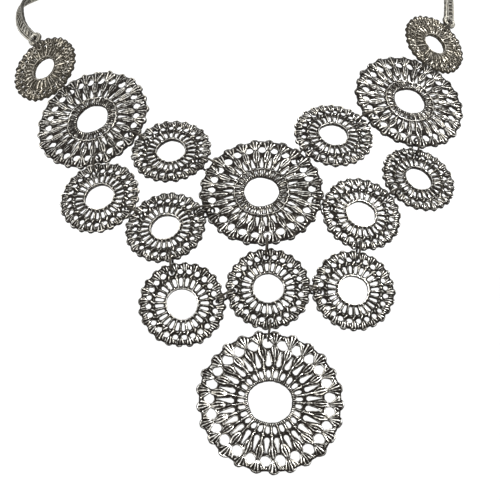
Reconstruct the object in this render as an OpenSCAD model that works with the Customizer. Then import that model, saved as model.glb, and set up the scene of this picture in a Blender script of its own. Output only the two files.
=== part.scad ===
// Bib necklace: fifteen cast lace discs linked by jump rings, on a flat band round the neck
// The origin is at the nape, under the clasp. The discs lie in front, along -Y, and +Z is up

/* [Discs] */
// Diameter of the drop disc at the bottom
drop_d = 49.8; // [49:0.1:50]
// Diameter of the three large discs
large_d = 43.4; // [42.6:0.1:43.5]
// Diameter of the nine middle discs
middle_d = 29; // [28:0.1:29.1]
// Diameter of the two small discs next to the band
small_d = 26.8; // [25:0.1:27]
// Thickness of every disc
disc_t = 1.8; // [1.4:0.1:1.9]

/* [Jump rings] */
// Thickness of the ring wire
wire_d = 0.8; // [0.6:0.05:1]
// Gap left between a ring and the rim that bears on it
ring_seat = 0.5; // [0.4:0.05:0.6]

/* [Neck band] */
// Width of the flat band
band_w = 4.4; // [3.4:0.1:5]
// Thickness of the band
band_t = 1.8; // [1.2:0.1:2.4]
// Length of the clasp at the nape
clasp_len = 16; // [12:0.5:20]
// Width of the clasp
clasp_w = 6; // [5:0.1:8]
// Thickness of the clasp
clasp_t = 3; // [2.4:0.1:4]
// Gap between each end of the band and the clasp
clasp_gap = 0.3; // [0.2:0.05:0.4]

/* [Chest that the discs are laid on] */
// Backward lean of the chest below the bend, in degrees
lean_low = 20; // [16:1:24]
// Backward lean of the chest above the bend, in degrees
lean_high = 32.5; // [28:0.5:36]
// Height of the bend between the two leans
bend_z = 5; // [0:1:10]
// Half length of the bend
bend_soft = 10; // [6:1:14]
// Radius of the chest seen from above
chest_r = 208; // [180:4:260]
// Distance from the middle where the shoulder has turned back 1 mm more
shoulder_x = 53; // [50:1:60]

/* [Hidden] */
$fn = 48;

// One row for each kind of disc, as shares of its radius: number of repeats in a ring of
// openings, centre hole, then the reach and width of the slots, the round openings and the bumps
// [repeats, hole, slots: [from, to, inner width, outer width], round at, round r, bump at, bump r]
DROP = [25, 0.30, [[0.345, 0.45, 0.055, 0.068], [0.49, 0.71, 0.092, 0.04]], 0.815, 0.084, 0.915, 0.085];
LARGE = [25, 0.28, [[0.325, 0.42, 0.045, 0.055], [0.46, 0.645, 0.08, 0.04]], 0.80, 0.068, 0.925, 0.075];
MIDDLE = [24, 0.353, [[0.417, 0.62, 0.065, 0.095]], 0.77, 0.07, 0.905, 0.095];
SMALL = [28, 0.33, [[0.41, 0.62, 0.045, 0.06]], 0.78, 0.06, 0.915, 0.085];

// One row for each disc: name, kind, place across, place up, extra turn and extra tip in degrees
// past those of the chest, because each disc settles a little its own way, then how much wider it
// was cast than its kind, and how far it stands off the chest
DISCS = [
    ["disc_small_left", "small", -75.6, 73.5, -1.5, -3, 0.9, 0],
    ["disc_large_left", "large", -58, 51.8, 1, 1, 0, -0.8],
    ["disc_inner_left", "middle", -29.7, 36.8, 3.5, 6.5, -0.1, 0.2],
    ["disc_large_centre", "large", 1, 19.7, -2.5, 0, 0.4, 0.4],
    ["disc_inner_right", "middle", 28.9, 39.1, -0.5, 4.5, -0.1, 0.2],
    ["disc_large_right", "large", 59.5, 51.1, -3, 1, -0.9, -0.1],
    ["disc_small_right", "small", 73.8, 74.3, 2.5, -2.5, -0.3, -0.1],
    ["disc_outer_left", "middle", -55.9, 21.7, 5, 2, 0.4, 0.3],
    ["disc_middle_left", "middle", -33.1, 9.1, -2, 6, -0.2, 1],
    ["disc_lower_left", "middle", -29.2, -17.1, 8, -6.5, 0.8, 0.7],
    ["disc_lower_centre", "middle", 0.3, -13.5, -2, -1.5, 0.3, 0.2],
    ["disc_lower_right", "middle", 29.3, -16.1, -1.5, 0, 0.3, 0.3],
    ["disc_middle_right", "middle", 34.9, 9.6, 1.5, -1.5, -0.3, 0.9],
    ["disc_outer_right", "middle", 58.1, 21.5, -0.5, 4, -1, -0.1],
    ["disc_drop", "drop", -2.2, -50.6, 4.5, 1, -0.4, 0.3],
];

// One row for each jump ring: name, and the two pieces that it links
RINGS = [
    ["ring_band_left", "band_left", "disc_small_left"],
    ["ring_01", "disc_small_left", "disc_large_left"],
    ["ring_02", "disc_large_left", "disc_inner_left"],
    ["ring_03", "disc_inner_left", "disc_large_centre"],
    ["ring_04", "disc_large_centre", "disc_inner_right"],
    ["ring_05", "disc_inner_right", "disc_large_right"],
    ["ring_06", "disc_large_right", "disc_small_right"],
    ["ring_band_right", "band_right", "disc_small_right"],
    ["ring_07", "disc_large_left", "disc_outer_left"],
    ["ring_08", "disc_outer_left", "disc_middle_left"],
    ["ring_09", "disc_middle_left", "disc_large_centre"],
    ["ring_10", "disc_large_centre", "disc_middle_right"],
    ["ring_11", "disc_middle_right", "disc_outer_right"],
    ["ring_12", "disc_outer_right", "disc_large_right"],
    ["ring_13", "disc_middle_left", "disc_lower_left"],
    ["ring_14", "disc_lower_left", "disc_lower_centre"],
    ["ring_15", "disc_large_centre", "disc_lower_centre"],
    ["ring_16", "disc_lower_centre", "disc_lower_right"],
    ["ring_17", "disc_lower_right", "disc_middle_right"],
    ["ring_drop", "disc_lower_centre", "disc_drop"],
];

// The band's route on the right, from its end tab to the clasp: place, and the way that its
// face looks, as a turn from the front and a lean up, in degrees. The last value is how much
// further out the left half runs there
// [x, y, z, turn, lean, further out]
BAND = [
    [82, 74, 84, 38, 27, 0],
    [83.4, 79, 91, 46, 27, 0.4],
    [84.2, 86, 98, 62, 28, 1.6],
    [82, 94, 104, 84, 30, 2.6],
    [74, 104, 109, 106, 32, 2.6],
    [60, 114, 112, 126, 32, 1.8],
    [42, 123, 114, 146, 31, 0.8],
    [24, 128.5, 115, 164, 30, 0],
];
// On the left the end tab lies a little higher and further in
LEFT_TAB = [79.5, 74, 86.5, 38, 27];

nape_y = 130.5;
nape_z = 115;
nape_lean = 30;
tab_d = band_w + 1.4;
tab_bore = 2.6;
band_steps = 3;
nape = [0, nape_y, nape_z] - face(180, nape_lean) * clasp_t / 2;

// The way that a face turned and leaned by these angles looks
function face(turn, lean) = [sin(turn) * cos(lean), -cos(turn) * cos(lean), sin(lean)];
function unit(v) = v / norm(v);

// The chest: how far back it is at a place, and how it faces there
function chest_y(x, z) = tan(lean_low) * z
    + (tan(lean_high) - tan(lean_low)) * bend_soft * ln(1 + exp((z - bend_z) / bend_soft))
    + x * x / (2 * chest_r) + pow(x / shoulder_x, 4);
function chest_dx(x) = x / chest_r + 4 * pow(x / shoulder_x, 3) / shoulder_x;
function chest_dz(z) = tan(lean_low)
    + (tan(lean_high) - tan(lean_low)) / (1 + exp((bend_z - z) / bend_soft));

// Readings from the disc table
function row_of(name) = [for (d = DISCS) if (d[0] == name) d][0];
function radius_of(d) = ((d[1] == "drop" ? drop_d : d[1] == "large" ? large_d
    : d[1] == "middle" ? middle_d : small_d) + d[6]) / 2;
function lace_of(kind) = kind == "drop" ? DROP : kind == "large" ? LARGE
    : kind == "middle" ? MIDDLE : SMALL;
function centre_of(d) = [d[2], chest_y(d[2], d[3]), d[3]] + d[7] * face(turn_of(d), lean_of(d));
function turn_of(d) = atan(chest_dx(d[2])) + d[4];
function lean_of(d) = atan2(chest_dz(d[3]), sqrt(1 + pow(chest_dx(d[2]), 2))) + d[5];

// The two directions in a disc's plane, to its right and up it
function side_of(d) = [cos(turn_of(d)), sin(turn_of(d)), 0];
function up_of(d) = cross(face(turn_of(d), lean_of(d)), side_of(d));

// The centre of the round opening of disc d that looks most nearly at point p
function opening_near(d, p) =
    let (lace = lace_of(d[1]), r = lace[3] * radius_of(d), v = p - centre_of(d),
         pitch = 360 / lace[0], k = round(atan2(v * up_of(d), v * side_of(d)) / pitch))
    centre_of(d) + r * (cos(k * pitch) * side_of(d) + sin(k * pitch) * up_of(d));

// Band route rows for one side, with the last row at the clasp
function band_rows(left) = concat(left ? [LEFT_TAB] : [BAND[0]],
    [for (i = [1:len(BAND) - 1]) BAND[i] + [left ? BAND[i][5] : 0, 0, 0, 0, 0, 0]],
    [[clasp_len / 2 + clasp_gap, nape_y, nape_z, 180, nape_lean]]);

// A smooth curve through rows a, b, c, d between b and c
function blend(a, b, c, d, t) = 0.5 * ((2 * b) + (c - a) * t
    + (2 * a - 5 * b + 4 * c - d) * t * t + (3 * b - a - 3 * c + d) * t * t * t);
function smooth(rows) = let (n = len(rows))
    concat([for (i = [0:n - 2], k = [0:band_steps - 1])
        blend(rows[max(i - 1, 0)], rows[i], rows[i + 1], rows[min(i + 2, n - 1)], k / band_steps)],
        [rows[n - 1]]);

// Where the wire of a ring enters each kind of piece, the way the piece faces there, and how far
// the wire can shift in its opening before it bears on the rim
function bore_at(name, p) = name == "band_right" ? [for (i = [0:2]) BAND[0][i]]
    : name == "band_left" ? [-LEFT_TAB[0], LEFT_TAB[1], LEFT_TAB[2]]
    : opening_near(row_of(name), p);
function face_at(name) = name == "band_right" ? face(BAND[0][3], BAND[0][4])
    : name == "band_left" ? face(-LEFT_TAB[3], LEFT_TAB[4])
    : face(turn_of(row_of(name)), lean_of(row_of(name)));
function middle_at(name) = name == "band_right" || name == "band_left" ? bore_at(name, [0, 0, 0])
    : centre_of(row_of(name));
function play_at(name) = (name == "band_right" || name == "band_left" ? tab_bore / 2
    : lace_of(row_of(name)[1])[4] * radius_of(row_of(name))) - wire_d / 2 - ring_seat;

// A slot with the corners of its wider end cut off, as [from, to, inner width, outer width]
function slot_points(s) = let (a = s[2] > s[3] ? s[0] : s[1], b = s[2] > s[3] ? s[1] : s[0],
        w = max(s[2], s[3]), n = min(s[2], s[3]), q = w * 0.3, way = sign(b - a))
    [[a, -w / 2 + q], [a, w / 2 - q], [a + way * q, w / 2], [b, n / 2], [b, -n / 2],
        [a + way * q, -w / 2]];

// The drawing of one lace disc, of radius r
module lace(kind, r) {
    lace = lace_of(kind);
    pitch = 360 / lace[0];
    difference() {
        union() {
            circle(r = (lace[5] + lace[6] / 2) * r, $fn = 96);
            for (i = [0:lace[0] - 1])
                rotate((i + 0.5) * pitch) translate([lace[5] * r, 0]) circle(r = lace[6] * r);
        }
        circle(r = lace[1] * r, $fn = 96);
        for (i = [0:lace[0] - 1]) {
            rotate(i * pitch) translate([lace[3] * r, 0]) circle(r = lace[4] * r);
            for (s = lace[2])
                rotate(i * pitch) polygon(r * slot_points(s));
        }
    }
}

module disc(d) {
    color([0.42, 0.41, 0.37])
    translate(centre_of(d)) rotate([90 - lean_of(d), 0, turn_of(d)])
        translate([0, 0, -disc_t / 2]) linear_extrude(disc_t) lace(d[1], radius_of(d));
}

// A jump ring round the rims of two pieces, in the plane of their line and their faces
module jump_ring(row) {
    a = bore_at(row[1], middle_at(row[2]));
    b = bore_at(row[2], middle_at(row[1]));
    along = unit(b - a);
    axis = unit(cross(along, face_at(row[1]) + face_at(row[2])));
    third = cross(axis, along);
    mean = norm(b - a) - play_at(row[1]) - play_at(row[2]);
    mid = (a + b) / 2 + along * (play_at(row[1]) - play_at(row[2])) / 2;
    color([0.16, 0.15, 0.14])
    multmatrix([[along[0], third[0], axis[0], mid[0]], [along[1], third[1], axis[1], mid[1]],
        [along[2], third[2], axis[2], mid[2]], [0, 0, 0, 1]])
        rotate_extrude() translate([mean / 2, 0]) circle(d = wire_d, $fn = 24);
}

// The flat band, swept along its route with an eight-sided section
module band_strip(left) {
    rows = smooth(band_rows(left));
    n = len(rows);
    w = band_w / 2;
    t = band_t / 2;
    section = [[-w, -t / 2], [-w * 0.7, -t], [w * 0.7, -t], [w, -t / 2],
        [w, t / 2], [w * 0.7, t], [-w * 0.7, t], [-w, t / 2]];
    place = [for (r = rows) [r[0], r[1], r[2]]];
    points = [for (i = [0:n - 1])
        let (run = unit(place[min(i + 1, n - 1)] - place[max(i - 1, 0)]),
             wide = unit(cross(run, face(rows[i][3], rows[i][4]))), out = cross(wide, run))
        for (s = section) place[i] + s[0] * wide + s[1] * out];
    sides = [for (i = [0:n - 2], k = [0:7])
        [i * 8 + k, i * 8 + (k + 1) % 8, (i + 1) * 8 + (k + 1) % 8, (i + 1) * 8 + k]];
    ends = [[for (k = [7:-1:0]) k], [for (k = [0:7]) (n - 1) * 8 + k]];
    polyhedron(points, concat(sides, ends), convexity = 6);
}

module band(left) {
    tab = left ? LEFT_TAB : BAND[0];
    color([0.45, 0.44, 0.40])
    mirror([left ? 1 : 0, 0, 0])
    difference() {
        union() {
            band_strip(left);
            translate([tab[0], tab[1], tab[2]]) rotate([90 - tab[4], 0, tab[3]])
                cylinder(d = tab_d, h = band_t, center = true);
        }
        translate([tab[0], tab[1], tab[2]]) rotate([90 - tab[4], 0, tab[3]])
            cylinder(d = tab_bore, h = 3 * band_t, center = true);
    }
}

module clasp() {
    color([0.45, 0.44, 0.40])
    translate([0, nape_y, nape_z]) rotate([90 - nape_lean, 0, 180]) translate([0, 0, -clasp_t / 2])
        linear_extrude(clasp_t) intersection() {
            square([clasp_len, clasp_w], center = true);
            circle(d = clasp_len * 1.02, $fn = 96);
        }
}

module at_nape() translate(-nape) children();

for (d = DISCS)
    at_nape() disc(d);
for (r = RINGS)
    at_nape() jump_ring(r);
at_nape() band(true);  // band_left
at_nape() band(false);  // band_right
at_nape() clasp();
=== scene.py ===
# %% [markdown]
# This lesson makes the looks of a bib necklace: fifteen cast silver discs with the look of
# crochet lace, joined edge to edge by dark jump rings and worn on a flat openwork band.
# The frame gives the place and the size of every piece. The work here is the lace itself, which
# could be carved, displaced from a height map, or laid in strands as a lacemaker would.
# Strands are the way chosen, because the light catches each one and the gaps stay truly open.

# %% Load the frame
import math

import bmesh
import bpy
import numpy
from mathutils import Matrix, Vector


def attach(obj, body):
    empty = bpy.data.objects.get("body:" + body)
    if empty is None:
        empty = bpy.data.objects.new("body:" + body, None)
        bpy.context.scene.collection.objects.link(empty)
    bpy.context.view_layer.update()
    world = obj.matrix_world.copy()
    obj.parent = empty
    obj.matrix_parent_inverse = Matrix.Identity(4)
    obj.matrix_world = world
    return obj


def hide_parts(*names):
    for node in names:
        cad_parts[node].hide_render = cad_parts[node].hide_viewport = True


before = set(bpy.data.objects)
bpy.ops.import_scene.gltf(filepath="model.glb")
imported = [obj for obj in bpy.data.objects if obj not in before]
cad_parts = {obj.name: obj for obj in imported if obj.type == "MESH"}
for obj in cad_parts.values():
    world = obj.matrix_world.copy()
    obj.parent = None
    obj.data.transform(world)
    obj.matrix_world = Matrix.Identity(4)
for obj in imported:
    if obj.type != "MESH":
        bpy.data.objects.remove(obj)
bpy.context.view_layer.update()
MM = 0.001
TURN = 2 * math.pi

# %% [markdown]
# Every piece ends as a mesh in the scene, and many carry a number on each point, which a node tree
# or a material reads. Such numbers could be kept as vertex groups or as colours. Named attributes
# are the way chosen, since they hold any value.

# %% Objects, and numbers on their points
def add_object(name, data):
    """A new object in the scene."""
    thing = bpy.data.objects.new(name, data)
    bpy.context.collection.objects.link(thing)
    return thing


def set_numbers(mesh, name, values):
    """Stores one number on each point of a mesh, under a name."""
    mesh.attributes.new(name, "FLOAT", "POINT").data.foreach_set("value", values)


print("mesh helpers ready")

# %% [markdown]
# A node tree is easier to read as a sum. A small class wraps one socket, so that 1 - mask adds
# its own Math node, and one method adds any other node from its kind, settings and inputs. The
# same nodes could be placed one by one in the editor, but the sum shows what they work out.

# %% Sockets that add up, and a board that nodes are put on
class Value:
    """One output socket of a node tree, which can be used in a sum."""

    def __init__(self, board, socket):
        self.board = board
        self.socket = socket

    def __add__(self, other):
        return self.board.maths("ADD", self, other)

    def __radd__(self, other):
        return self.board.maths("ADD", other, self)

    def __sub__(self, other):
        return self.board.maths("SUBTRACT", self, other)

    def __rsub__(self, other):
        return self.board.maths("SUBTRACT", other, self)

    def __mul__(self, other):
        return self.board.maths("MULTIPLY", self, other)

    def __truediv__(self, other):
        return self.board.maths("DIVIDE", self, other)


class Board:
    """A node tree that is being filled."""

    def __init__(self, tree):
        self.tree = tree

    def plug(self, source, target):
        if isinstance(source, Value):
            self.tree.links.new(source.socket, target)
        else:
            target.default_value = source

    def add(self, kind, settings=None, inputs=None, out=0):
        """Adds a node. The settings come first, since they decide which sockets it has."""
        node = self.tree.nodes.new(kind)
        for name, value in (settings or {}).items():
            if name == "stops":
                while len(node.color_ramp.elements) < len(value):
                    node.color_ramp.elements.new(0.5)
                for mark, (place, colour) in zip(node.color_ramp.elements, value):
                    mark.position = place
                    mark.color = colour
            else:
                setattr(node, name, value)
        for key, source in (inputs or {}).items():
            self.plug(source, node.inputs[key])
        return Value(self, node.outputs[out]) if node.outputs else None

    def maths(self, operation, *ends):
        return self.add("ShaderNodeMath", {"operation": operation}, dict(enumerate(ends)))

    def vector(self, operation, a, b):
        """A sum of two vectors, or a vector and a scale."""
        key = "Scale" if operation == "SCALE" else 1
        return self.add("ShaderNodeVectorMath", {"operation": operation}, {0: a, key: b})

    def named(self, name, kind="FLOAT"):
        """Reads a named attribute of the geometry."""
        return self.add("GeometryNodeInputNamedAttribute", {"data_type": kind}, {"Name": name})

    def keep(self, geometry, name, value):
        """Stores a number on every point under a name."""
        return self.add("GeometryNodeStoreNamedAttribute", {"data_type": "FLOAT", "domain": "POINT"},
                        {"Geometry": geometry, "Name": name, "Value": value})

    def height(self):
        """How far each point lies above the middle plane."""
        place = self.add("GeometryNodeInputPosition")
        return self.add("ShaderNodeSeparateXYZ", {}, {0: place}, out="Z")


print("node helpers ready")

# %% [markdown]
# The finish is oxidised silver: the whole casting was blackened, then the high places were rubbed
# bright again, so the grooves stay dark brown. A mask painted by hand would have to follow every
# strand. Instead each strand carries a number, "high", which says how far each point stands proud,
# and the material turns that into dark patina below and rubbed metal above. Noise of four sizes
# makes the rubbing uneven: clouds, warm patches, spots, and pits that only roughen. The fine spots
# are partly uneven rubbing and partly painted glints: small bright dots put into the colour.

# %% The oxidised metals
# Sizes of noise, as cells to a metre
CLOUDS = 210.0
PATCHES = 420.0
# The fine spots are partly uneven rubbing and partly painted glints
WEAR_AND_GLINT_SPOTS = 1150.0
PITS = 900.0
PIT_DEPTH = 0.1 * MM
WARM = (1.0, 0.97, 0.91, 1.0)


def make_metal(name, dark, middle, bright, gloss, rub=1.0, wear_and_glint_spots=1.9):
    """Blackened metal, rubbed bright where the attribute "high" is near one."""
    material = bpy.data.materials.new(name)
    material.use_nodes = True
    material.node_tree.nodes.clear()
    board = Board(material.node_tree)
    place = board.add("ShaderNodeTexCoord", out="Object")
    high = board.add("ShaderNodeAttribute", {"attribute_name": "high"}, out="Fac")
    tone = board.add("ShaderNodeAttribute", {"attribute_name": "tone"}, out="Fac")

    def noise(scale, detail):
        return board.add("ShaderNodeTexNoise", {}, {"Vector": place, "Scale": scale, "Detail": detail})

    cloud = noise(CLOUDS, 3.0)
    # Painted glints mixed with uneven rubbing: small bright dots put into the colour, not made by the
    # lamps
    spots = noise(WEAR_AND_GLINT_SPOTS, 1.0)
    pits = noise(PITS, 4.0)
    rubbed = high * rub + (cloud - 0.5) * 0.5 + (tone - 0.5) * 0.45 + (spots - 0.5) * wear_and_glint_spots
    colour = board.add("ShaderNodeValToRGB", {"stops": [
        (0.06, dark + (1,)), (0.5, middle + (1,)), (1.0, bright + (1,))]}, {"Fac": rubbed})
    mask = board.add("ShaderNodeClamp", {}, {"Value": rubbed})
    patch = noise(PATCHES, 1.0)
    warm = board.add("ShaderNodeClamp", {}, {"Value": (patch - 0.48) * 5.0 + (tone - 0.5)})
    colour = board.add("ShaderNodeMix", {"data_type": "RGBA", "blend_type": "MULTIPLY"}, {
        "Factor": warm, 6: colour, 7: WARM}, out=2)
    bump = board.add("ShaderNodeBump", {}, {"Height": pits, "Strength": 0.25, "Distance": PIT_DEPTH})
    shader = board.add("ShaderNodeBsdfPrincipled", {}, {
        "Base Color": colour, "Metallic": mask * 0.35 + 0.65,
        "Roughness": (1 - mask) * 0.25 + pits * 0.2 + (gloss - 0.1), "Normal": bump,
        "Specular IOR Level": 0.12})
    board.add("ShaderNodeOutputMaterial", {}, {"Surface": shader})
    return material


silver = make_metal("oxidised_silver", (0.012, 0.010, 0.008), (0.168, 0.161, 0.144),
                    (0.93, 0.915, 0.875), gloss=0.22)
steel = make_metal("brown_grey_silver", (0.030, 0.026, 0.019), (0.180, 0.165, 0.138),
                   (0.78, 0.74, 0.65), gloss=0.30)
band_metal = make_metal("band_silver", (0.026, 0.023, 0.018), (0.30, 0.291, 0.257),
                        (0.62, 0.60, 0.54), gloss=0.34, wear_and_glint_spots=0.7)
wire_metal = make_metal("blackened_wire", (0.010, 0.008, 0.006), (0.058, 0.052, 0.043),
                        (0.42, 0.40, 0.36), rub=0.9, gloss=0.26, wear_and_glint_spots=0.3)
print("metals", [m.name for m in (silver, steel, band_metal, wire_metal)])

# %% [markdown]
# Each disc is one sector of lace repeated round its centre. A whole disc could be drawn by hand in
# edit mode, but a sector written as a few points is short, and fits a disc of any radius. A strand
# has a thickness and a lift: how far its round back stands above the middle of the casting, on both
# faces alike. A lift that falls to nothing at the end lets the strand roll over the rim, which is
# how a thread wound over the edge looks.

# %% A drawing board for one sector of lace
class Lace:
    """Strands of one sector, in millimetres, with the sector's opening on the x axis."""

    def __init__(self, repeats, radius, bump_at=0.9, bump=0.1):
        self.repeats = repeats
        self.radius = radius
        self.bump_at = bump_at
        self.bump = bump
        self.strands = []

    def at(self, rho, phi, lift, z=0.0):
        """A point from its share of the radius and its place round, counted in repeats."""
        angle = TURN * phi / self.repeats
        reach = rho * self.radius
        return (reach * math.cos(angle), reach * math.sin(angle), z, lift)

    def rim(self, phi):
        """The scalloped outline's share of the radius: round bumps on a plain circle."""
        angle = TURN * ((phi % 1.0) - 0.5) / self.repeats
        off = self.bump_at * math.sin(angle)
        plain = self.bump_at + self.bump / 2
        if abs(off) >= self.bump:
            return plain
        return max(plain, self.bump_at * math.cos(angle) + math.sqrt(self.bump ** 2 - off ** 2))

    def strand(self, points, thick, closed=False, grow=0.0):
        """One strand. Where grow is above 0, it is thinner at its start and thicker at its end."""
        last = len(points) - 1
        widths = [thick * (1 + grow * (2 * k / last - 1)) for k in range(len(points))]
        self.strands.append((points, widths, closed))

    def thread(self, thick, *spots):
        """A short strand. Each spot is a share of the radius, a place round and a lift."""
        self.strand([self.at(*spot) for spot in spots], thick)

    def ring(self, rho, thick, lift, wave=0.0, z=0.0):
        """A wire that goes on right round the disc."""
        turns = (-0.5, -0.25, 0.0, 0.25, 0.5)
        self.strand([self.at(rho + wave * math.cos(TURN * p), p, lift, z) for p in turns], thick)

    def edge(self, inset, thick, lift):
        """A wire along the scalloped rim, highest round the bumps."""
        steps = 8
        turns = [k / steps - 0.5 for k in range(steps + 1)]
        self.strand([self.at(self.rim(p) - inset, p, lift * (0.2 + 0.8 * math.sin(math.pi * p) ** 2))
                     for p in turns], thick)

    def round_opening(self, rho, share, thick, lift, out):
        """A loop of wire bound round one of the round openings."""
        middle = rho * self.radius
        size = share * self.radius + out
        steps = 10
        turns = [TURN * k / steps for k in range(steps)]
        self.strand([(middle + size * math.cos(a), size * math.sin(a), 0.0, lift) for a in turns],
                    thick, True)

    def arc_opening(self, rho, share, thick, lift, out, reach=0.9):
        """Part of a second loop round an opening, on the side towards the disc's hole."""
        middle = rho * self.radius
        size = share * self.radius + out
        steps = 6
        points = []
        for k in range(steps + 1):
            away = 2 * k / steps - 1
            a = math.pi + reach * away
            points.append((middle + size * math.cos(a), size * math.sin(a), 0.0,
                           lift * (1 - 0.35 * abs(away))))
        self.strand(points, thick)

    def slot_opening(self, near, far, inner, outer, thick, lift, out):
        """A loop of wire round a long opening, with its corners rounded off."""
        x0 = near * self.radius - out
        x1 = far * self.radius + out
        w0 = inner * self.radius / 2 + out
        w1 = outer * self.radius / 2 + out
        corners = [(x0, -w0), (x1, -w1), (x1, w1), (x0, w0)]
        points = []
        for k in range(4):
            here = Vector(corners[k])
            for other in (corners[k - 1], corners[(k + 1) % 4]):
                run = Vector(other) - here
                spot = here + run * min(0.5, abs(here.y) * 0.8 / run.length)
                points.append((spot.x, spot.y, 0.0, lift))
        self.strand(points, thick, True)

    def leaf(self, near, far, spread, count, thick, low, high, skew, tip=0.35):
        """A puffed stitch: strands side by side, drawn together at both ends."""
        for k in range(count):
            side = 2 * k / (count - 1) - 1
            spots = []
            for t in (0.0, 0.22, 0.5, 0.78, 1.0):
                swell = math.sin(math.pi * t)
                open_out = tip + (1 - tip) * swell
                rise = (high - low) * swell * (1 - 0.45 * side * side) * (0.72 if k % 2 else 1.0)
                spots.append((near + (far - near) * t,
                              0.5 + side * spread * open_out + skew * (t - 0.5), low + rise))
            self.thread(thick, *spots)

    def fan(self, near, start, spread, count, thick, low, high, slant, reach=1.0, dip=0.02,
            grow=0.35):
        """Threads that spread from a waist and roll over the rim."""
        for k in range(count):
            side = 2 * k / (count - 1) - 1
            last = 0.5 + side * spread + slant
            end = self.rim(last) * reach - thick * (1 + grow) / self.radius
            begin = near + dip * side * side
            points = []
            for t, lift in ((0.0, low), (0.3, high), (0.7, high), (0.92, high * 0.8), (1.0, 0.05)):
                turn = 0.5 + side * start + (last - 0.5 - side * start) * t ** 0.8
                points.append(self.at(begin + (end - begin) * t, turn, lift * (0.75 if k % 2 else 1.0)))
            self.strand(points, thick, grow=grow)

    def bridge(self, near, places, thick, lift, lean):
        """Short threads over the rim, outside a round opening."""
        for phi in places:
            last = phi + lean
            end = self.rim(last) - thick / self.radius
            self.thread(thick, (near, phi, lift * 0.6), ((near + end) / 2, phi + lean / 2, lift),
                        (end, last, lift * 0.3))

    def to_object(self, name):
        """The strands as a mesh of edges, in metres, with "thick" and "lift" on its points."""
        spots, edges, thicks, lifts = [], [], [], []
        for points, widths, closed in self.strands:
            first = len(spots)
            for (x, y, z, lift), thick in zip(points, widths):
                spots.append((x * MM, y * MM, z * MM))
                thicks.append(thick * MM)
                lifts.append(lift * MM)
            last = len(spots) - 1
            edges += [(k, k + 1) for k in range(first, last)]
            if closed:
                edges.append((last, first))
        mesh = bpy.data.meshes.new(name)
        mesh.from_pydata(spots, edges, [])
        set_numbers(mesh, "thick", thicks)
        set_numbers(mesh, "lift", lifts)
        return add_object(name, mesh)


print("lace board ready")

# %% [markdown]
# The tree below turns the drawing into metal. It pushes every point about with the same soft
# noise, since no two stitches of real lace match, and sweeps a six-sided section along each strand.
# The same noise moves the dark web that lies between the strands, so that web and strands still
# meet. Curve objects with a bevel could do the sweep, but a tree can also lift each half of a tube
# off the middle plane, so that one drawing serves both faces.

# %% Parts that both trees share
# How far apart two seeds lie in the noise, then sizes of noise, as cells to a metre
SEED_STEP = 7.3
BROAD = 150.0
FINE = 1100.0
LUMPS = 900.0
# How much weaker the fine noise pushes than the broad one
FINE_SHARE = 0.3
# Sides of a strand's section, and how near two ends are when they count as one
SIDES = 6
SAME_SPOT = 0.02 * MM


def start_tree(name, sizes):
    """A new geometry tree with named inputs. Returns its board and the inputs as values."""
    tree = bpy.data.node_groups.new(name, "GeometryNodeTree")
    tree.is_modifier = True
    kinds = {"Geometry": "NodeSocketGeometry", "Web": "NodeSocketObject", "Route": "NodeSocketObject",
             "Metal": "NodeSocketMaterial", "Repeats": "NodeSocketInt", "Count": "NodeSocketInt",
             "Seed": "NodeSocketInt"}
    names = ["Geometry"] + sizes
    for socket in names:
        tree.interface.new_socket(name=socket, in_out="INPUT",
                                  socket_type=kinds.get(socket, "NodeSocketFloat"))
    tree.interface.new_socket(name="Geometry", in_out="OUTPUT", socket_type="NodeSocketGeometry")
    board = Board(tree)
    entry = tree.nodes.new("NodeGroupInput")
    return board, {socket: Value(board, entry.outputs[socket]) for socket in names}


def shaken(board, geometry, sizes):
    """Moves points sideways by noise: broad noise shapes the stitches, fine noise the threads."""
    place = board.add("GeometryNodeInputPosition")
    seed = sizes["Seed"] * SEED_STEP

    def push(scale, amount):
        noise = board.add("ShaderNodeTexNoise", {"noise_dimensions": "4D"},
                          {"Vector": place, "W": seed, "Scale": scale, "Detail": 0.0}, out="Color")
        centred = board.vector("SUBTRACT", noise, (0.5, 0.5, 0.5))
        return board.vector("SCALE", board.vector("MULTIPLY", centred, (1.0, 1.0, 0.0)), amount)

    both = board.vector("ADD", push(BROAD, sizes["Wobble"]), push(FINE, sizes["Wobble"] * FINE_SHARE))
    return board.add("GeometryNodeSetPosition", {}, {"Geometry": geometry, "Offset": both})


def repeated(board, places, sizes, turned):
    """The drawing at each place, as one set of lines that meet end to end."""
    lines = board.add("GeometryNodeInstanceOnPoints", {}, {
        "Points": places, "Instance": sizes["Geometry"], **turned})
    lines = board.add("GeometryNodeRealizeInstances", {}, {"Geometry": lines})
    return board.add("GeometryNodeMergeByDistance", {}, {"Geometry": lines, "Distance": SAME_SPOT})


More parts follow.
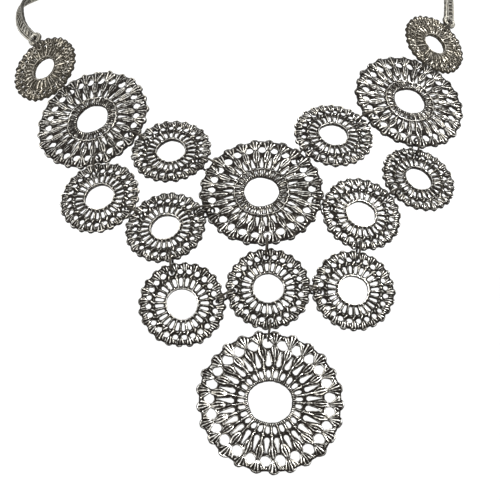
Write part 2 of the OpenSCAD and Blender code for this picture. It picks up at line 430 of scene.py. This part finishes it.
def swept(board, lines, seed):
    """Turns lines of edges into tubes. Each half of a tube is lifted off the middle plane."""
    curve = board.add("GeometryNodeMeshToCurve", {}, {"Mesh": lines})
    curve = board.add("GeometryNodeCurveSplineType", {"spline_type": "CATMULL_ROM"}, {"Curve": curve})
    curve = board.add("GeometryNodeSetSplineResolution", {}, {"Geometry": curve, "Resolution": 2})
    curve = board.add("GeometryNodeSetCurveNormal", {"mode": "Z_UP"}, {"Curve": curve})
    own = board.add("FunctionNodeRandomValue", {"data_type": "FLOAT"}, {"Seed": seed}, out="Value")
    own = board.add("GeometryNodeFieldOnDomain", {"domain": "CURVE", "data_type": "FLOAT"},
                    {"Value": own})
    curve = board.keep(curve, "tone", own)
    curve = board.keep(curve, "mid", board.height())
    section = board.add("GeometryNodeCurvePrimitiveCircle", {}, {"Resolution": SIDES, "Radius": 1.0})
    section = board.add("GeometryNodeTransform", {},
                        {"Geometry": section, "Rotation": (0.0, 0.0, math.pi / SIDES)})
    lumps = board.add("ShaderNodeTexNoise", {}, {
        "Vector": board.add("GeometryNodeInputPosition"), "Scale": LUMPS, "Detail": 0.0})
    size = board.named("thick") * (0.84 + board.named("tone") * 0.32) * (0.7 + lumps * 0.6)
    curve = board.keep(curve, "size", size)
    tubes = board.add("GeometryNodeCurveToMesh", {}, {
        "Curve": curve, "Profile Curve": section, "Scale": board.named("size"), "Fill Caps": True})
    away = board.height() - board.named("mid")
    tubes = board.keep(tubes, "crest", board.maths("ABSOLUTE", away) / board.named("size"))
    rise = board.maths("SIGN", away) * board.named("lift")
    shift = board.add("ShaderNodeCombineXYZ", {}, {"Z": rise})
    return board.add("GeometryNodeSetPosition", {}, {"Geometry": tubes, "Offset": shift})


def joined(board, web, strands, sizes):
    """Web and strands together, marked by how high each point stands, and smoothed."""
    both = board.tree.nodes.new("GeometryNodeJoinGeometry")
    board.plug(web, both.inputs[0])
    board.plug(strands, both.inputs[0])
    above = board.maths("ABSOLUTE", board.height())
    proud = board.add("ShaderNodeMapRange", {}, {
        "Value": above, "From Min": sizes["Groove"], "From Max": sizes["Crest"], "To Min": 0.6})
    back = board.add("ShaderNodeMapRange", {}, {
        "Value": board.named("crest"), "From Min": 0.5, "From Max": 0.95})
    solid = board.keep(Value(board, both.outputs[0]), "high", proud * back)
    return board.add("GeometryNodeSetShadeSmooth", {}, {"Geometry": solid})


def close_tree(board, solid, sizes):
    """Gives the metal to the result, and ends the tree."""
    solid = board.add("GeometryNodeRealizeInstances", {}, {"Geometry": solid})
    solid = board.add("GeometryNodeSetMaterial", {}, {"Geometry": solid, "Material": sizes["Metal"]})
    leave = board.tree.nodes.new("NodeGroupOutput")
    board.plug(solid, leave.inputs["Geometry"])
    return board.tree


print("tree parts ready")

# %% [markdown]
# A cast disc repeats its sector round the centre. An array modifier with an empty could turn the
# copies, but in a tree the number of repeats is one input, and the ends of the copies are merged
# before the sweep, so a wire that goes right round is one strand without seams.

# %% The tree of a disc
board, sizes = start_tree("lace_disc", ["Web", "Repeats", "Wobble", "Seed", "Groove", "Crest", "Metal"])
centres = board.add("GeometryNodeMeshLine", {}, {"Count": sizes["Repeats"], "Offset": (0.0, 0.0, 0.0)})
angle = board.add("GeometryNodeInputIndex") * TURN / sizes["Repeats"]
turned = {"Rotation": board.add("ShaderNodeCombineXYZ", {}, {"Z": angle})}
lines = repeated(board, centres, sizes, turned)
strands = swept(board, shaken(board, lines, sizes), sizes["Seed"])
web = board.add("GeometryNodeObjectInfo", {}, {"Object": sizes["Web"]}, out="Geometry")
lace_tree = close_tree(board, joined(board, shaken(board, web, sizes), strands, sizes), sizes)
print("lace tree", len(lace_tree.nodes), "nodes")

# %% [markdown]
# A modifier's inputs are set by the socket's identifier, before the object is first evaluated.
# The evaluated object is then copied out as a plain mesh, which is what rides on the frame. The
# modifier could stay on the object, but a plain mesh is the same in every program.

# %% Run a tree and keep the plain mesh
def cast(drawing, tree, name, place, **values):
    """Runs the tree on a drawing, and returns the result as a plain piece at its place."""
    modifier = drawing.modifiers.new("make", "NODES")
    modifier.node_group = tree
    for item in tree.interface.items_tree:
        if item.item_type == "SOCKET" and item.in_out == "INPUT" and item.name in values:
            modifier[item.identifier] = values[item.name]
    drawing.update_tag()
    graph = bpy.context.evaluated_depsgraph_get()
    mesh = bpy.data.meshes.new_from_object(drawing.evaluated_get(graph), depsgraph=graph)
    for spare in ("thick", "lift", "mid", "size", "crest"):
        if spare in mesh.attributes:
            mesh.attributes.remove(mesh.attributes[spare])
    mesh.transform(place)
    mesh.name = name
    drawing.modifiers.clear()
    return add_object(name, mesh)


def triangles(piece):
    return sum(len(p.vertices) - 2 for p in piece.data.polygons)


print("ready to cast")

# %% [markdown]
# A disc's place is read from its CAD node, by the way its flat face looks. The CAD node itself,
# merged, flattened to a thin plate and blackened, becomes the web behind the strands, so every
# opening of the lace sits where the frame has it. A plate could be cut anew from circles, but then
# its openings could drift from the frame's.

# %% Where a CAD disc lies, and its web
# How near two points of a CAD mesh are when they count as one, and the web's share of a thickness
DOUBLES = 0.002 * MM
WEB_SHARE = 0.55


def turned_to(face):
    """The turn of a flat piece that looks along face, with its side level."""
    side = Vector((-face.y, face.x, 0.0)).normalized()
    return Matrix((side, face.cross(side), face)).transposed().to_4x4()


def lie_of(node):
    """The place of a CAD disc, from the flat direction with the largest area."""
    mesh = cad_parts[node].data
    areas = {}
    for p in mesh.polygons:
        way = tuple(round(c, 2) for c in (p.normal if p.normal.y < 0 else -p.normal))
        areas[way] = areas.get(way, 0.0) + p.area
    ref = Vector(max(areas, key=areas.get)).normalized()
    flat = [p for p in mesh.polygons if abs(p.normal.dot(ref)) > 0.999]
    face = Vector()
    centre = Vector()
    total = 0.0
    for p in flat:
        face += p.normal * p.area * (1 if p.normal.dot(ref) > 0 else -1)
        centre += p.center * p.area
        total += p.area
    face.normalize()
    return Matrix.Translation(centre / total) @ turned_to(face)


def reach_of(node, place):
    """The disc's outer radius."""
    back = place.inverted()
    return max((back @ v.co).xy.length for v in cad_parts[node].data.vertices)


def merged_copy(node):
    """The CAD node's mesh, open for edits, with its doubles merged."""
    work = bmesh.new()
    work.from_mesh(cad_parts[node].data)
    bmesh.ops.remove_doubles(work, verts=work.verts, dist=DOUBLES)
    return work


def end_web(work, name):
    """The edited mesh as an object, with the numbers that a tree reads left at nothing."""
    mesh = bpy.data.meshes.new(name)
    work.to_mesh(mesh)
    work.free()
    for key in ("thick", "lift"):
        mesh.attributes.new(key, "FLOAT", "POINT")
    return add_object(name, mesh)


def web_of(node, place):
    """A merged copy of the CAD disc, drawn flat in the middle plane and thinned."""
    work = merged_copy(node)
    work.transform(place.inverted())
    work.transform(Matrix.Diagonal((1.0, 1.0, WEB_SHARE, 1.0)))
    return end_web(work, "web")


discs = sorted(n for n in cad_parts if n.startswith("disc_"))
print("discs", len(discs))

# %% [markdown]
# The big drop shows the stitches best. From the hole outwards: a bound edge with short teeth, a row
# of small rounded openings, a raised wire, teardrop openings between twin threads, puffed leaf
# stitches, large round openings, and fans of thread that roll over a scalloped rim. The openings
# of each kind are those of the frame. Random threads could fill the web, but rows of named stitches
# keep the order that crochet has.

# %% The sectors of lace, from the drop to the small discs
def draw_drop(radius):
    lace = Lace(25, radius, 0.915, 0.085)
    lace.ring(0.308, 0.20, 0.20, wave=0.003)
    for phi in (-0.33, 0.0, 0.33):
        lace.thread(0.21, (0.304, phi, 0.0), (0.318, phi + 0.04, 0.58), (0.345, phi + 0.08, 0.3))
    lace.slot_opening(0.345, 0.45, 0.055, 0.068, 0.17, 0.15, out=0.02)
    lace.thread(0.20, (0.34, 0.5, 0.3), (0.39, 0.5, 0.6), (0.46, 0.5, 0.4))
    lace.ring(0.468, 0.17, 0.24, wave=-0.004)
    lace.thread(0.23, (0.452, 0.30, 0.1), (0.470, 0.5, 0.70), (0.488, 0.70, 0.1))
    lace.slot_opening(0.487, 0.715, 0.096, 0.012, 0.21, 0.12, out=0.0)
    lace.thread(0.22, (0.48, 0.5, 0.35), (0.54, 0.48, 0.6), (0.61, 0.5, 0.3))
    lace.leaf(0.60, 0.79, 0.24, 3, 0.30, 0.20, 0.74, skew=0.08)
    lace.round_opening(0.815, 0.084, 0.26, 0.16, out=-0.05)
    lace.arc_opening(0.815, 0.084, 0.18, 0.20, out=0.55)
    lace.bridge(0.905, (-0.16, 0.03), 0.25, 0.32, lean=0.07)
    lace.fan(0.79, 0.07, 0.42, 5, 0.30, 0.24, 0.58, slant=0.10)
    lace.edge(0.012, 0.23, 0.45)
    return lace


def draw_large(radius):
    lace = Lace(25, radius, 0.925, 0.075)
    lace.ring(0.288, 0.20, 0.25, wave=0.003)
    for phi in (-0.25, 0.25):
        lace.thread(0.22, (0.284, phi, 0.0), (0.302, phi, 0.58), (0.328, phi + 0.05, 0.3))
    lace.slot_opening(0.325, 0.42, 0.045, 0.055, 0.17, 0.14, out=-0.02)
    lace.thread(0.19, (0.31, 0.0, 0.0), (0.37, 0.05, 0.1), (0.44, 0.0, 0.0))
    lace.thread(0.20, (0.33, 0.5, 0.3), (0.38, 0.5, 0.6), (0.43, 0.5, 0.4))
    lace.ring(0.440, 0.19, 0.46, wave=0.006)
    lace.slot_opening(0.457, 0.65, 0.084, 0.018, 0.20, 0.12, out=-0.02)
    lace.thread(0.22, (0.45, 0.5, 0.3), (0.50, 0.48, 0.6), (0.57, 0.5, 0.3))
    lace.leaf(0.55, 0.78, 0.24, 3, 0.28, 0.20, 0.76, skew=-0.08)
    lace.round_opening(0.80, 0.068, 0.19, 0.16, out=0.06)
    lace.arc_opening(0.80, 0.068, 0.17, 0.20, out=0.5)
    lace.bridge(0.875, (-0.14, 0.06), 0.22, 0.38, lean=-0.05)
    lace.fan(0.765, 0.08, 0.41, 4, 0.29, 0.24, 0.58, slant=-0.06, reach=0.992)
    lace.edge(0.013, 0.19, 0.50)
    return lace


def draw_middle(radius):
    lace = Lace(24, radius, 0.905, 0.095)
    lace.ring(0.366, 0.20, 0.60)
    lace.thread(0.20, (0.372, 0.35, 0.1), (0.395, 0.5, 0.66), (0.42, 0.55, 0.2))
    lace.slot_opening(0.417, 0.62, 0.065, 0.095, 0.15, 0.11, out=0.02)
    lace.thread(0.20, (0.41, 0.5, 0.3), (0.52, 0.52, 0.62), (0.63, 0.5, 0.3))
    lace.thread(0.23, (0.62, 0.68, 0.2), (0.68, 0.5, 0.74), (0.73, 0.34, 0.2))
    lace.thread(0.19, (0.63, 0.30, 0.1), (0.655, 0.12, 0.5), (0.65, -0.14, 0.1))
    lace.round_opening(0.77, 0.07, 0.19, 0.18, out=0.04)
    lace.bridge(0.85, (-0.10, 0.10), 0.19, 0.45, lean=0.06)
    lace.fan(0.76, 0.16, 0.30, 3, 0.27, 0.2, 0.64, slant=0.12, grow=0.2, reach=0.985)
    lace.edge(0.017, 0.21, 0.55)
    return lace


def draw_small(radius):
    lace = Lace(28, radius, 0.915, 0.085)
    for z in (0.62, -0.62):
        lace.ring(0.345, 0.24, 0.0, z=z)
    lace.ring(0.338, 0.24, 0.0)
    lace.ring(0.378, 0.17, 0.55)
    lace.slot_opening(0.41, 0.62, 0.045, 0.06, 0.16, 0.20, out=-0.02)
    lace.thread(0.24, (0.40, 0.0, 0.0), (0.52, 0.03, 0.05), (0.65, 0.0, 0.1))
    lace.thread(0.26, (0.39, 0.5, 0.3), (0.5, 0.47, 0.6), (0.66, 0.5, 0.35))
    lace.thread(0.22, (0.64, 0.25, 0.1), (0.675, 0.02, 0.5), (0.67, -0.24, 0.1))
    lace.round_opening(0.78, 0.06, 0.22, 0.36, out=-0.04)
    lace.bridge(0.85, (-0.05,), 0.25, 0.42, lean=0.10)
    lace.thread(0.26, (0.67, 0.66, 0.2), (0.75, 0.5, 0.66), (0.83, 0.40, 0.2))
    lace.fan(0.83, 0.14, 0.27, 2, 0.29, 0.2, 0.54, slant=0.08, dip=0.01, grow=0.2)
    return lace


DRAW = {"drop": draw_drop, "large": draw_large, "middle": draw_middle, "small": draw_small}
print("strands in a sector", {kind: len(draw(20).strands) for kind, draw in DRAW.items()})

# %% [markdown]
# Each disc gets its own seed, so no two are quite alike. One disc could be cast and copied, but
# copies of a hand-made pattern give themselves away. The record names a brown-grey finish for the
# two small discs and silver for the rest.

# %% Cast the fifteen discs
# How far the noise pushes a point, and the heights at which rubbing starts and is full
WOBBLE = {"drop": 1.2 * MM, "large": 1.2 * MM, "middle": 0.9 * MM, "small": 0.9 * MM}
GROOVE = 0.45 * MM
CREST = 0.85 * MM


def kind_of(node):
    for kind in ("drop", "large", "small"):
        if kind in node:
            return kind
    return "middle"


total = 0
for seed, node in enumerate(discs):
    kind = kind_of(node)
    place = lie_of(node)
    lace = DRAW[kind](reach_of(node, place) / MM)
    web = web_of(node, place)
    drawing = lace.to_object("drawing")
    piece = cast(drawing, lace_tree, "lace_" + node[5:], place, Web=web, Repeats=lace.repeats,
                 Wobble=WOBBLE[kind], Seed=seed + 1, Groove=GROOVE, Crest=CREST,
                 Metal=steel if kind == "small" else silver)
    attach(piece, "drop" if kind == "drop" else "root")
    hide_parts(node)
    bpy.data.objects.remove(web)
    bpy.data.objects.remove(drawing)
    total += triangles(piece)
    print(piece.name, kind, triangles(piece), "triangles")
print("discs total", total)

# %% [markdown]
# A jump ring is a turn of round wire, sawn from a coil and closed, so it has one fine seam. It
# could be a torus, but a swept circle leaves room for the seam. The wire is left black, and is
# rubbed a little only on the outside of the turn.

# %% Jump rings
# Radius of the wire, and how finely a ring is cut
WIRE = 0.4 * MM
RING_STEPS = 44
RING_SIDES = 10
# Half the seam as a share of the turn, the wire there as a share, and a way that places the seam
SEAM = 0.0035
SEAM_SIZE = 0.86
SEAM_WAY = Vector((0.31, -1.0, 0.17))


def turn_of(node):
    """Centre, axis and mean radius of a ring, from the spread of its points."""
    spots = numpy.array([v.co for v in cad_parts[node].data.vertices])
    centre = spots.mean(axis=0)
    values, ways = numpy.linalg.eigh(numpy.cov((spots - centre).T))
    axis = ways[:, 0]
    flat = (spots - centre) - numpy.outer((spots - centre) @ axis, axis)
    reach = numpy.linalg.norm(flat, axis=1)
    return Vector(centre), Vector(axis), (reach.max() + reach.min()) / 2


def jump_ring(node):
    """A ring of wire in place of a CAD ring. Returns its mean diameter in millimetres."""
    centre, axis, mean = turn_of(node)
    start = axis.cross(SEAM_WAY).normalized()
    other = axis.cross(start)
    spots, faces, high = [], [], []
    for k in range(RING_STEPS + 1):
        angle = TURN * (SEAM + (1 - 2 * SEAM) * k / RING_STEPS)
        out = start * math.cos(angle) + other * math.sin(angle)
        size = WIRE * (SEAM_SIZE if k in (0, RING_STEPS) else 1.0)
        for j in range(RING_SIDES):
            lap = TURN * j / RING_SIDES
            reach = mean + size * math.cos(lap)
            spots.append(centre + out * reach + axis * size * math.sin(lap))
            high.append(0.45 + 0.25 * math.cos(lap))
    for k in range(RING_STEPS):
        for j in range(RING_SIDES):
            a = k * RING_SIDES + j
            b = k * RING_SIDES + (j + 1) % RING_SIDES
            faces.append((a, b, b + RING_SIDES, a + RING_SIDES))
    faces.append(tuple(range(RING_SIDES - 1, -1, -1)))
    faces.append(tuple(RING_STEPS * RING_SIDES + j for j in range(RING_SIDES)))
    mesh = bpy.data.meshes.new(node)
    mesh.from_pydata(spots, [], faces)
    set_numbers(mesh, "high", high)
    mesh.materials.append(wire_metal)
    work = bmesh.new()
    work.from_mesh(mesh)
    bmesh.ops.recalc_face_normals(work, faces=work.faces)
    work.to_mesh(mesh)
    work.free()
    mesh.shade_smooth()
    piece = add_object("wire_" + node, mesh)
    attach(piece, "root")
    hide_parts(node)
    return round(2 * mean / MM, 1)


rings = sorted(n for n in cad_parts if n.startswith("ring_"))
across = [jump_ring(n) for n in rings]
print("rings", len(rings), "of", min(across), "to", max(across), "mm")

# %% [markdown]
# The band looks crocheted too: smooth cords along both edges, with a row of crossed threads and
# small dark gaps between them. It could be swept along its route at once, but then each stitch
# would have to be drawn bent. Instead one stitch is drawn flat and repeated along a straight line,
# and the strip is then bent: each point looks up the route at its own share of the length.

# %% The band's route
# The frame's own rows for the band, in millimetres: place, then the turn and the lean of its face
NAPE = Vector((0.0, 129.201, 114.25))
ROUTE = [(82, 74, 84, 38, 27), (83.4, 79, 91, 46, 27), (84.2, 86, 98, 62, 28), (82, 94, 104, 84, 30),
         (74, 104, 109, 106, 32), (60, 114, 112, 126, 32), (42, 123, 114, 146, 31),
         (24, 128.5, 115, 164, 30), (8.3, 130.5, 115, 180, 30)]
# How much further out the left half runs at each row, and the row that it starts with
FURTHER = (0, 0.4, 1.6, 2.6, 2.6, 1.8, 0.8, 0, 0)
LEFT_START = (79.5, 74, 86.5, 38, 27)


def facing(turn, lean):
    """The way of a face, turned from the front and leaned up by these angles in degrees."""
    turn = math.radians(turn)
    lean = math.radians(lean)
    return Vector((math.sin(turn) * math.cos(lean), -math.cos(turn) * math.cos(lean), math.sin(lean)))


def route_of(left):
    """The band's route as an edge mesh, with the way it faces on each point, and its length."""
    rows = [(r[0] + more if left else r[0],) + r[1:] for r, more in zip(ROUTE, FURTHER)]
    if left:
        rows[0] = LEFT_START
    flip = Vector((-1.0 if left else 1.0, 1.0, 1.0))
    spots = [(Vector(r[:3]) - NAPE) * flip * MM for r in rows]
    faces = [facing(r[3], r[4]) * flip for r in rows]
    mesh = bpy.data.meshes.new("route")
    mesh.from_pydata(spots, [(k, k + 1) for k in range(len(spots) - 1)], [])
    mesh.attributes.new("face", "FLOAT_VECTOR", "POINT").data.foreach_set(
        "vector", [c for f in faces for c in f])
    long = sum((b - a).length for a, b in zip(spots, spots[1:]))
    return add_object("route", mesh), spots[0], faces[0], long


print("route of", len(ROUTE), "rows")

# %% [markdown]
# The band's tree first makes the flat strip, in the same way as a disc. It then reads the route's
# place, direction and face at each point's share of the length, and builds the point anew from
# them. A Curve modifier bends as well, but it lets the strip twist freely, and this band has to
# face the way that the frame's band does.

# %% The tree of the band
board, sizes = start_tree("band", ["Web", "Route", "Count", "Pitch", "Long", "Wobble", "Seed",
                                   "Groove", "Crest", "Metal"])
step = board.add("ShaderNodeCombineXYZ", {}, {"X": sizes["Pitch"]})
places = board.add("GeometryNodeMeshLine", {}, {"Count": sizes["Count"], "Offset": step})
lines = repeated(board, places, sizes, {})
strands = swept(board, shaken(board, lines, sizes), sizes["Seed"])
web = board.add("GeometryNodeObjectInfo", {}, {"Object": sizes["Web"]}, out="Geometry")
strip = joined(board, web, strands, sizes)
route = board.add("GeometryNodeObjectInfo", {}, {"Object": sizes["Route"]}, out="Geometry")
route = board.add("GeometryNodeMeshToCurve", {}, {"Mesh": route})
route = board.add("GeometryNodeCurveSplineType", {"spline_type": "CATMULL_ROM"}, {"Curve": route})
route = board.add("GeometryNodeSetSplineResolution", {}, {"Geometry": route, "Resolution": 8})
here = board.add("ShaderNodeSeparateXYZ", {}, {0: board.add("GeometryNodeInputPosition")})
along, across, above = (Value(board, here.socket.node.outputs[key]) for key in "XYZ")
there = board.add("GeometryNodeSampleCurve", {"data_type": "FLOAT_VECTOR", "mode": "FACTOR"}, {
    "Curves": route, "Value": board.named("face", "FLOAT_VECTOR"), "Factor": along / sizes["Long"]})
face, spot, run = (Value(board, there.socket.node.outputs[key])
                   for key in ("Value", "Position", "Tangent"))
wide = board.vector("NORMALIZE", board.vector("CROSS_PRODUCT", run, face), (0.0, 0.0, 0.0))
out = board.vector("CROSS_PRODUCT", wide, run)
sideways = board.vector("SCALE", wide, across * -1.0)
outwards = board.vector("SCALE", out, above)
bent = board.vector("ADD", spot, board.vector("ADD", sideways, outwards))
strip = board.add("GeometryNodeSetPosition", {}, {"Geometry": strip, "Position": bent})
band_tree = close_tree(board, strip, sizes)
print("band tree", len(band_tree.nodes), "nodes")

# %% [markdown]
# On the real band a thread crosses from edge to edge in every stitch, and each end is wound into a
# round loop for the jump ring. A braid modifier or a picture could hint at that, but drawn threads
# catch the light from behind as well. The loop is a tiny disc, so it uses the disc's own tree.

# %% A stitch of the band, and the wound loop at its end
LOOP_REPEATS = 9
LOOP_RADIUS = 2.9


def draw_stitch(pitch):
    """One stitch. Each line has places along, as shares of the pitch, places across and lifts."""
    stitch = Lace(1, 1.0)

    def line(points, thick, lift):
        stitch.strand([(x * pitch, y, 0.0, lift * share) for x, y, share in points], thick)

    line([(0, 1.78, 1), (0.5, 1.80, 1), (1, 1.78, 1)], 0.40, 0.40)
    line([(0, 1.05, 1), (0.5, 1.00, 1), (1, 1.05, 1)], 0.28, 0.60)
    line([(0, -1.80, 1), (0.5, -1.78, 1), (1, -1.80, 1)], 0.38, 0.40)
    line([(0, -1.22, 1), (0.3, -1.28, 0.8), (0.6, -1.16, 1), (1, -1.22, 1)], 0.24, 0.50)
    line([(0, 0.85, 0.9), (0.22, 0.40, 1), (0.55, -0.70, 1), (0.8, -1.25, 0.8)], 0.24, 0.50)
    line([(0.45, 0.85, 0.6), (0.75, 0.15, 0.7), (1.1, -0.80, 0.8), (1.3, -1.3, 0.7)], 0.21, 0.42)
    return stitch


def draw_loop():
    lace = Lace(LOOP_REPEATS, LOOP_RADIUS, 0.98, 0.02)
    lace.ring(0.58, 0.30, 0.42)
    lace.ring(0.88, 0.30, 0.36)
    for phi in (-0.3, 0.0, 0.3):
        lace.thread(0.22, (0.5, phi, 0.1), (0.6, phi + 0.1, 0.68), (0.8, phi + 0.3, 0.72),
                    (0.97, phi + 0.45, 0.15))
    return lace


print("strands in a stitch", len(draw_stitch(1).strands), "and in a loop", len(draw_loop().strands))

# %% [markdown]
# Behind the stitches lies a thin dark plate, as behind the lace of the discs. The band's CAD node
# is bent already, so it can't be used here. A flat strip and a washer take its place, and the strip
# is cut into short steps so that it can follow the route.

# %% Plates behind the band
def boxed(rows, closed):
    """Joins rows of four corners by faces: end to end, or round where closed."""
    work = bmesh.new()
    rows = [[work.verts.new(Vector(corner) * MM) for corner in row] for row in rows]
    for a, b in zip(rows, rows[1:] + rows[:1] if closed else rows[1:]):
        for j in range(4):
            work.faces.new((a[j], a[(j + 1) % 4], b[(j + 1) % 4], b[j]))
    if not closed:
        work.faces.new(rows[0])
        work.faces.new(rows[-1][::-1])
    bmesh.ops.recalc_face_normals(work, faces=work.faces)
    return work


def strip_web(long, wide, thick, steps):
    """A thin strip, cut into steps."""
    corners = ((-wide / 2, -thick / 2), (wide / 2, -thick / 2), (wide / 2, thick / 2),
               (-wide / 2, thick / 2))
    rows = [[(long * k / steps, y, z) for y, z in corners] for k in range(steps + 1)]
    return end_web(boxed(rows, False), "strip")


def washer_web(radius, bore, thick, steps=36):
    """A flat washer."""
    corners = ((bore, -thick / 2), (radius, -thick / 2), (radius, thick / 2), (bore, thick / 2))
    turns = [TURN * k / steps for k in range(steps)]
    rows = [[(r * math.cos(a), r * math.sin(a), z) for r, z in corners] for a in turns]
    return end_web(boxed(rows, True), "washer")


print("plates ready")

# %% [markdown]
# Both halves are made from the same stitch and differ in their route and their seed. One half could
# be mirrored, but the two ends of the real band don't hang alike.

# %% Make both halves of the band
# Length of a stitch, then the plates in millimetres: width and thickness, radius, bore and thickness
STITCH = 2.1 * MM
STRIP = (3.8, 0.7)
WASHER = (2.75, 1.35, 0.8)
# How far the noise pushes a point, and the heights at which rubbing starts and is full
BAND_WOBBLE = 0.6 * MM
LOOP_WOBBLE = 0.3 * MM
BAND_GROOVE = 0.40 * MM
BAND_CREST = 0.78 * MM
LOOP_CREST = 0.80 * MM

for seed, side in ((31, "left"), (47, "right")):
    route, start, face, long = route_of(side == "left")
    count = round(long / STITCH)
    pitch = long / count
    web = strip_web(long / MM, *STRIP, count * 2)
    drawing = draw_stitch(pitch / MM).to_object("drawing")
    piece = cast(drawing, band_tree, "band_lace_" + side, Matrix(), Web=web, Route=route,
                 Count=count, Pitch=pitch, Long=long, Wobble=BAND_WOBBLE, Seed=seed,
                 Groove=BAND_GROOVE, Crest=BAND_CREST, Metal=band_metal)
    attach(piece, "root")
    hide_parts("band_" + side)
    washer = washer_web(*WASHER)
    loop = draw_loop().to_object("loop")
    tab = cast(loop, lace_tree, "band_loop_" + side, Matrix.Translation(start) @ turned_to(face),
               Web=washer, Repeats=LOOP_REPEATS, Wobble=LOOP_WOBBLE, Seed=seed,
               Groove=BAND_GROOVE, Crest=LOOP_CREST, Metal=band_metal)
    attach(tab, "root")
    for spare in (route, web, drawing, washer, loop):
        bpy.data.objects.remove(spare)
    print(piece.name, round(long / MM, 1), "mm", count, "stitches", triangles(piece), triangles(tab))

# %% [markdown]
# The clasp sits at the back of the neck, where it doesn't show when the necklace is worn. It is
# one plain box catch with its corners eased, made from the CAD solid with its doubles merged and
# its edges bevelled. A new box could be modelled, but this one already has the frame's place.

# %% Clasp
# Angles between two faces, in radians: below the first they count as one face, above the second
# their edge is sharp
FLAT_ANGLE = 0.03
SHARP_ANGLE = 0.5


def soften(node, name, width):
    """A CAD solid with its edges bevelled, as a piece."""
    work = merged_copy(node)
    bmesh.ops.dissolve_limit(work, angle_limit=FLAT_ANGLE, verts=work.verts, edges=work.edges)
    sharp = [e for e in work.edges if len(e.link_faces) == 2 and e.calc_face_angle() > SHARP_ANGLE]
    bmesh.ops.bevel(work, geom=sharp, offset=width, segments=3, profile=0.5, affect="EDGES")
    mesh = bpy.data.meshes.new(name)
    work.to_mesh(mesh)
    work.free()
    set_numbers(mesh, "high", [0.6] * len(mesh.vertices))
    mesh.materials.append(band_metal)
    mesh.shade_smooth()
    piece = add_object(name, mesh)
    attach(piece, "root")
    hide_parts(node)
    return piece


clasp = soften("clasp", "box_clasp", 0.3 * MM)
print(clasp.name, triangles(clasp), "triangles")

# %% [markdown]
# The stage is a plain pale floor under a white sky, and three soft lamps as a studio has them: a
# large one to the right and above, a wide weak one to the left, and one behind for the edges. A
# picture of a studio could light it too, but lamps are easy to move.

# %% Floor, sky and lamps
FLOOR_HALF = 40
FLOOR_Z = -1.3
PALE = (0.92, 0.92, 0.92, 1)
WHITE = (1, 1, 1, 1)
SKY = 1.12
# Each lamp's place, width and power, all turned towards one spot in the bib
AIM = Vector((0, -0.1, -0.1))
LAMPS = {"key": ((0.7, -1.0, 0.8), 0.35, 20), "fill": ((-1.0, -0.9, 0.1), 0.7, 8.5),
         "back": ((0.0, 0.9, 0.9), 0.6, 9)}


def make_stage():
    mesh = bpy.data.meshes.new("floor")
    signs = ((-1, -1), (1, -1), (1, 1), (-1, 1))
    corners = [(x * FLOOR_HALF, y * FLOOR_HALF, FLOOR_Z) for x, y in signs]
    mesh.from_pydata(corners, [], [(0, 1, 2, 3)])
    floor = add_object("floor", mesh)
    pale = bpy.data.materials.new("pale_floor")
    pale.use_nodes = True
    shader = pale.node_tree.nodes["Principled BSDF"]
    shader.inputs["Base Color"].default_value = PALE
    shader.inputs["Roughness"].default_value = 0.7
    mesh.materials.append(pale)
    world = bpy.data.worlds.new("studio")
    bpy.context.scene.world = world
    world.use_nodes = True
    sky = world.node_tree.nodes["Background"]
    sky.inputs["Color"].default_value = WHITE
    sky.inputs["Strength"].default_value = SKY


def lamp(name, place, size, power):
    """A round soft lamp, turned towards the bib."""
    light = bpy.data.lights.new(name, "AREA")
    light.shape = "DISK"
    light.size = size
    light.energy = power
    thing = add_object(name, light)
    thing.location = place
    thing.rotation_euler = (AIM - Vector(place)).to_track_quat("-Z", "Y").to_euler()


make_stage()
for name, values in LAMPS.items():
    lamp(name, *values)
bpy.context.scene.view_settings.view_transform = "Standard"
print("stage and", len(LAMPS), "lamps ready")

# %% [markdown]
# The camera looks from the same side as in the photograph. It could be set by eye, but its place
# was found by fitting the outlines of the round discs, which show as ellipses: level with the bib,
# a little to its right, rolled a few degrees, with a long lens.

# %% Camera
# Sensor and lens in millimetres, then the camera's place, its right and its back
SENSOR = 36
LENS = 113.1
CAMERA_AT = (-0.0295, -0.6666, -0.1127)
CAMERA_RIGHT = Vector((0.997, -0.0459, -0.0628)).normalized()
CAMERA_BACK = Vector((-0.0458, -0.9989, 0.0029)).normalized()


def make_camera():
    data = bpy.data.cameras.new("camera")
    data.sensor_width = SENSOR
    data.lens = LENS
    camera = add_object("camera", data)
    up = CAMERA_BACK.cross(CAMERA_RIGHT).normalized()
    right = up.cross(CAMERA_BACK)
    camera.matrix_world = (Matrix.Translation(CAMERA_AT)
                           @ Matrix((right, up, CAMERA_BACK)).transposed().to_4x4())
    bpy.context.scene.camera = camera


make_camera()
print("camera with a lens of", LENS, "mm")
